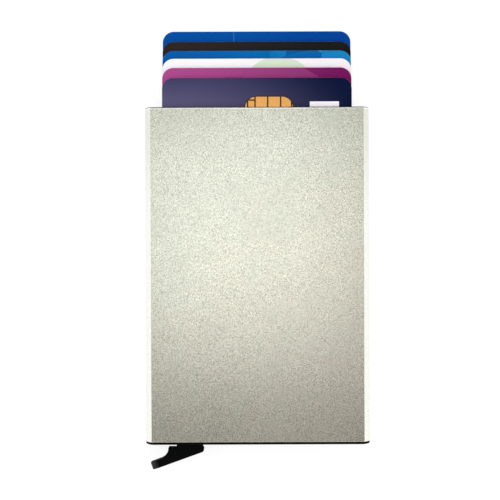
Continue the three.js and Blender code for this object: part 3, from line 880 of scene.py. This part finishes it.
lever = moulded("thumb_lever", finger_outline, -LEVER_HALF, LEVER_HALF, LEVER_EDGE)
neck = moulded("lever_neck", neck_outline, -LEVER_HALF, LEVER_HALF, LEVER_EDGE)
print("finger of", len(finger_outline), "points, neck of", len(neck_outline), "points")

# %% Finger tip
TIP_LENGTH = 2.3 * MM
TIP_DEPTH = 0.8 * MM
TIP_RIBS = 6
RIB_HEIGHT = 0.06 * MM


def rib_the_tip(piece):
    """Thins the finger's end from the front and the back, and leaves fine ribs across it."""
    form = bmesh.new()
    form.from_mesh(piece.data)
    end = Vector((tip_lower.x, tip_lower.y, 0.0))
    axis = Vector((finger.x, finger.y, 0.0))
    cuts = 2 * TIP_RIBS
    for cut in range(1, cuts + 1):
        everything = form.verts[:] + form.edges[:] + form.faces[:]
        place = end - axis * (TIP_LENGTH * cut / cuts)
        bmesh.ops.bisect_plane(form, geom=everything, dist=1e-7, plane_co=place, plane_no=axis)
    for vertex in form.verts:
        share = (vertex.co - end).dot(axis) / TIP_LENGTH + 1
        if share > 0:
            rib = RIB_HEIGHT * (round(share * cuts) % 2)
            vertex.co.z *= 1 - (TIP_DEPTH * share - rib) / LEVER_HALF
    form.to_mesh(piece.data)
    form.free()


rib_the_tip(lever)
for piece in (lever, neck):
    piece.data.transform(Matrix.Translation((PIVOT.x, PIVOT.y, MIDDLE)))
TIP_PLACE = (PIVOT.x + tip_lower.x, PIVOT.y + tip_lower.y, MIDDLE)
print("ribbed tip at", [round(value / MM, 2) for value in TIP_PLACE], "mm")

# %% Stepped arm and hollows
ARM_LOW = WALL + ARM_CLEARANCE
ARM_TIP_DEPTH = 2.0 * MM
STEP_ROUND = 0.12 * MM

stairs = [(ARM_START, ARM_LOW, STEP_ROUND), (reaches[-1], ARM_LOW, STEP_ROUND)]
for (low, high), reach, inner in reversed(list(zip(CARD_BOXES.values(), reaches, [ARM_START] + reaches))):
    stairs += [(reach, high.z, STEP_ROUND), (inner, high.z, STEP_ROUND)]
arm = moulded("stepped_arm", rounded_outline(stairs, 3), arm_bottom, HUB_RADIUS, STEP_ROUND * 0.8, along="Y")
for vertex in arm.data.vertices:
    along_arm = (vertex.co.x - ARM_START) / (reaches[-1] - ARM_START)
    depth = (HUB_RADIUS - arm_bottom) * (1 - along_arm) + ARM_TIP_DEPTH * along_arm
    vertex.co.y = HUB_RADIUS - (HUB_RADIUS - vertex.co.y) * depth / (HUB_RADIUS - arm_bottom)
arm.data.transform(Matrix.Translation((PIVOT.x, PIVOT.y, 0.0)))
print("steps reach", [round(reach / MM, 2) for reach in reaches], "mm from the pivot")

SPRING_WIRE = 0.35 * MM
SPRING_RADIUS = 1.5 * MM
SPRING_TURNS = 2
SPRING_PITCH = 0.8 * MM
SPRING_GAP = 0.3 * MM
POCKET_GAP = 0.9 * MM
BORE_FIT = 0.1 * MM
LEG_SLOT = 5.8 * MM
SPRING_LOW = MIDDLE - SLOT_HALF + SPRING_GAP + SPRING_WIRE / 2
SPRING_HIGH = SPRING_LOW + SPRING_TURNS * SPRING_PITCH
LEG_ROOM = SPRING_WIRE / 2 + SPRING_GAP
POCKET_RADIUS = SPRING_RADIUS + SPRING_WIRE / 2 + POCKET_GAP
POCKET_TOP = SPRING_HIGH + LEG_ROOM
BORE = PIN_RADIUS + BORE_FIT

coil_pocket = turned("coil_pocket", PIVOT, [(POCKET_RADIUS, 0.0), (POCKET_RADIUS, POCKET_TOP)])
pin_bore = turned("pin_bore", PIVOT, [(BORE, 0.0), (BORE, THICKNESS)])
fixed_leg_room = block(
    "fixed_leg_room",
    (PIVOT.x - NECK_LEFT - CUT, PIVOT.y - SPRING_RADIUS - LEG_ROOM, 0.0),
    (PIVOT.x, PIVOT.y + HUB_RADIUS + CUT, POCKET_TOP),
)
moving_leg_slot = block(
    "moving_leg_slot",
    (PIVOT.x, PIVOT.y - SPRING_RADIUS - LEG_ROOM, SPRING_HIGH - LEG_ROOM),
    (PIVOT.x + LEG_SLOT, PIVOT.y - SPRING_RADIUS + LEG_ROOM, POCKET_TOP),
)
carve(lever, joined=[neck, arm], removed=[coil_pocket, fixed_leg_room, moving_leg_slot, pin_bore])
LEVER_PLASTIC = black_plastic("lever_plastic", TIP_PLACE, (finger.x, finger.y, 0.0), TIP_LENGTH)
fit(lever, "lever", "black_plastic", LEVER_PLASTIC, "ejector_lever")

# %% [markdown]
# ## Hinge pin and return spring
# The pin is a short turned rod with broken edges. The spring is wound wire round it: one leg rests in the
# base, the other sits in the lever's arm.

# %% Pin and spring
PIN_CHAMFER = 0.15 * MM
PIN_PROFILE = [
    (PIN_RADIUS - PIN_CHAMFER, PIN_LOW.z),
    (PIN_RADIUS, PIN_LOW.z + PIN_CHAMFER),
    (PIN_RADIUS, PIN_HIGH.z - PIN_CHAMFER),
    (PIN_RADIUS - PIN_CHAMFER, PIN_HIGH.z),
]
fit(turned("pivot_pin", PIVOT, PIN_PROFILE), "holder", "steel", STEEL, "hinge_pin")

FIXED_LEG = 5.0 * MM
MOVING_LEG = 5.3 * MM
STEPS_PER_TURN = 40
WIRE_SIDES = 14


def spring_path():
    """The wire's centre line: the base's leg, the coil, and the leg in the lever."""
    def beside_pivot(x, y, z):
        return Vector((PIVOT.x + x, PIVOT.y + y, z))

    path = [beside_pivot(-FIXED_LEG * share, -SPRING_RADIUS, SPRING_LOW) for share in (1.0, 0.5)]
    steps = SPRING_TURNS * STEPS_PER_TURN
    for step in range(steps + 1):
        turn = math.tau * step / STEPS_PER_TURN
        z = SPRING_LOW + (SPRING_HIGH - SPRING_LOW) * step / steps
        path.append(beside_pivot(SPRING_RADIUS * math.sin(turn), -SPRING_RADIUS * math.cos(turn), z))
    return path + [beside_pivot(MOVING_LEG * share, -SPRING_RADIUS, SPRING_HIGH) for share in (0.5, 1.0)]


def wire(name, path, radius, sides):
    """A round wire along a path that never runs straight up."""
    rings = []
    for index, point in enumerate(path):
        run = path[min(index + 1, len(path) - 1)] - path[max(index - 1, 0)]
        across = run.cross(Vector((0.0, 0.0, 1.0))).normalized()
        over = across.cross(run).normalized()
        angles = [math.tau * side / sides for side in range(sides)]
        rings.append([point + radius * (across * math.cos(a) + over * math.sin(a)) for a in angles])
    return skin(name, rings)


spring = wire("torsion_spring", spring_path(), SPRING_WIRE / 2, WIRE_SIDES)
shade(spring)
spring.data.materials.append(STEEL)
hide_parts("return_spring")
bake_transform(spring)
print(spring.name, len(spring.data.polygons), "faces, from holder to lever")

# %% [markdown]
# ## Rails and finned strips
# Along each narrow side a black rail fills the bulge, and a rubber strip on it holds the cards by their
# edges. The strip's fins lean towards the mouth, so that cards slide out easily and stay where they are
# put. One side is drawn and the other mirrored.

# %% Rails and strips
RAIL_LOW, RAIL_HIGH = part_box("right_guide_rail")
STRIP_LOW, STRIP_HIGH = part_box("right_fin_strip")
RAIL_EDGE = 0.12 * MM
FIN_HEIGHT = 0.9 * MM
FIN_ROOT = 0.9 * MM
FIN_TIP = 0.35 * MM
FIN_RISE = 0.8 * MM
FIN_PITCH = 3.0 * MM
FIN_ROUND = 0.12 * MM


def mirrored(outline):
    return [Vector((-point.x, point.y)) for point in reversed(outline)]


def rail_outline():
    """The rail's section in X and Z: flat towards the cards, round towards the sleeve."""
    radius = SIDE_RADIUS - WALL - FIT_GAP
    sweep = math.asin((RAIL_HIGH.z - MIDDLE) / radius)
    face = [Vector((RAIL_LOW.x, RAIL_HIGH.z)), Vector((RAIL_LOW.x, RAIL_LOW.z))]
    return face + arc((SIDE_CENTRE, MIDDLE), radius, -sweep, sweep, 20)


def comb_outline():
    """The strip's plan: a web against the rail, and fins that lean towards the mouth."""
    web = STRIP_LOW.x + FIN_HEIGHT
    room = STRIP_HIGH.y - STRIP_LOW.y - FIN_RISE
    count = math.floor(room / FIN_PITCH)
    spare = room - (count - 1) * FIN_PITCH - FIN_ROOT
    corners = [(STRIP_HIGH.x, STRIP_LOW.y), (STRIP_HIGH.x, STRIP_HIGH.y), (web, STRIP_HIGH.y)]
    for fin in reversed(range(count)):
        root = STRIP_LOW.y + spare / 2 + fin * FIN_PITCH
        tip = root + (FIN_ROOT - FIN_TIP) / 2 + FIN_RISE
        corners += [(web, root + FIN_ROOT), (STRIP_LOW.x, tip + FIN_TIP), (STRIP_LOW.x, tip), (web, root)]
    corners.append((web, STRIP_LOW.y))
    return rounded_outline([(x, y, FIN_ROUND) for x, y in corners], 4)


for side in ("right", "left"):
    rail_section, comb_plan = rail_outline(), comb_outline()
    if side == "left":
        rail_section, comb_plan = mirrored(rail_section), mirrored(comb_plan)
    rail = moulded(side + "_rail", rail_section, RAIL_LOW.y, RAIL_HIGH.y, RAIL_EDGE, along="Y")
    fit(rail, "holder", "black_plastic", BASE_PLASTIC, side + "_guide_rail")
    comb = moulded(side + "_fin_comb", comb_plan, STRIP_LOW.z, STRIP_HIGH.z, FIN_ROUND * 0.8)
    fit(comb, "holder", "soft_rubber", RUBBER, side + "_fin_strip")

# %% [markdown]
# ## Cards
# A card is punched from its sheet, so its edge is nearly square with a hair of rounding. Its front, back
# and edge show three different layers, so faces get one of three materials by the way they point. A
# shallow pocket is cut for the chip module.

# %% Card bodies
CARD_CORNER = 3.18 * MM
CARD_EDGE = 0.09 * MM
CHIP_CORNER = 3.3 * MM
CHIP_SIDE_GAP = 0.1 * MM
CHIP_BED_GAP = 0.03 * MM


def plate(name, outline, low, high):
    """An outline given thickness, with square edges."""
    return skin(name, [[(point.x, point.y, height) for point in outline] for height in (low, high)])


def chip_outline(colour, growth=0.0):
    low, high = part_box(colour + "_chip")
    middle = ((low.x + high.x) / 2, (low.y + high.y) / 2)
    width = high.x - low.x + 2 * growth
    depth = high.y - low.y + 2 * growth
    return rounded_rectangle(middle, width, depth, CHIP_CORNER + growth, 10)


def card_body(colour):
    low, high = CARD_BOXES[colour]
    plan = rounded_rectangle((0.0, (low.y + high.y) / 2), CARD_WIDTH, CARD_LENGTH, CARD_CORNER, 12)
    card = moulded(colour + "_card_body", plan, low.z, high.z, CARD_EDGE)
    pocket_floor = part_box(colour + "_chip")[0].z - CHIP_BED_GAP
    pocket = plate("chip_pocket", chip_outline(colour, CHIP_SIDE_GAP), pocket_floor, high.z + CUT)
    carve(card, removed=[pocket])
    for layer in (card_front(colour, high.y), card_back(colour, high.y), CARD_CORE, RESIN):
        card.data.materials.append(layer)
    for face in card.data.polygons:
        sunk = low.z + CARD_EDGE < face.center.z < high.z - CARD_EDGE and abs(face.center.x) < CARD_WIDTH / 4
        ends = abs(face.center.y - (low.y + high.y) / 2) > CARD_LENGTH / 2 - CARD_EDGE
        facing = 0 if face.normal.z > 0.5 else 1 if face.normal.z < -0.5 else 2
        face.material_index = 3 if sunk and not ends else facing
    return card


for colour in PRINTS:
    fit(card_body(colour), colour, "card_" + colour, None, colour + "_card")

# %% [markdown]
# ## Chips
# A chip module is a thin gold-plated sheet on dark resin. Narrow gaps split the sheet into contacts, and
# the resin shows through them. Cutting the gaps out of one plate leaves the contacts as true islands with
# the module's rounded outline.

# %% Chip modules
CONTACT_THICKNESS = 0.06 * MM
CONTACT_INSET = 0.15 * MM  # the resin shows round the gold
GAP_HALF = 0.21 * MM
CHIP_GAPS = [  # centre x, centre y, half width, half depth, from the module's middle
    (-4.0 * MM, 0.0, GAP_HALF, 7.0 * MM),
    (3.29 * MM, 0.0, GAP_HALF, 7.0 * MM),
    (-0.39 * MM, 4.3 * MM, GAP_HALF, 2.5 * MM),
    (-0.39 * MM, -4.3 * MM, GAP_HALF, 2.5 * MM),
    (0.0, 1.8 * MM, 8.0 * MM, GAP_HALF),
    (0.0, -1.8 * MM, 8.0 * MM, GAP_HALF),
    (-5.5 * MM, 4.92 * MM, 1.45 * MM, GAP_HALF),
    (-6.12 * MM, 0.0, GAP_HALF, 7.0 * MM),
    (6.4 * MM, 0.0, GAP_HALF, 7.0 * MM),
]


def chip_module(colour):
    """The resin bed and the split gold sheet on it."""
    low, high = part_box(colour + "_chip")
    middle = (low + high) / 2
    sheet_low = high.z - CONTACT_THICKNESS
    bed = plate(colour + "_chip_bed", chip_outline(colour), low.z, sheet_low)
    sheet = plate(colour + "_chip_contacts", chip_outline(colour, -CONTACT_INSET), sheet_low, high.z)
    gaps = []
    for x, y, half_width, half_depth in CHIP_GAPS:
        corner = (middle.x + x - half_width, middle.y + y - half_depth, sheet_low - CUT)
        opposite = (middle.x + x + half_width, middle.y + y + half_depth, high.z + CUT)
        gaps.append(block("contact_gap", corner, opposite))
    carve(sheet, removed=gaps)
    return bed, sheet


for colour in PRINTS:
    chip_bed, chip_sheet = chip_module(colour)
    fit(chip_bed, colour, "black_plastic", RESIN)
    fit(chip_sheet, colour, "chip_gold", GOLD, colour + "_chip")
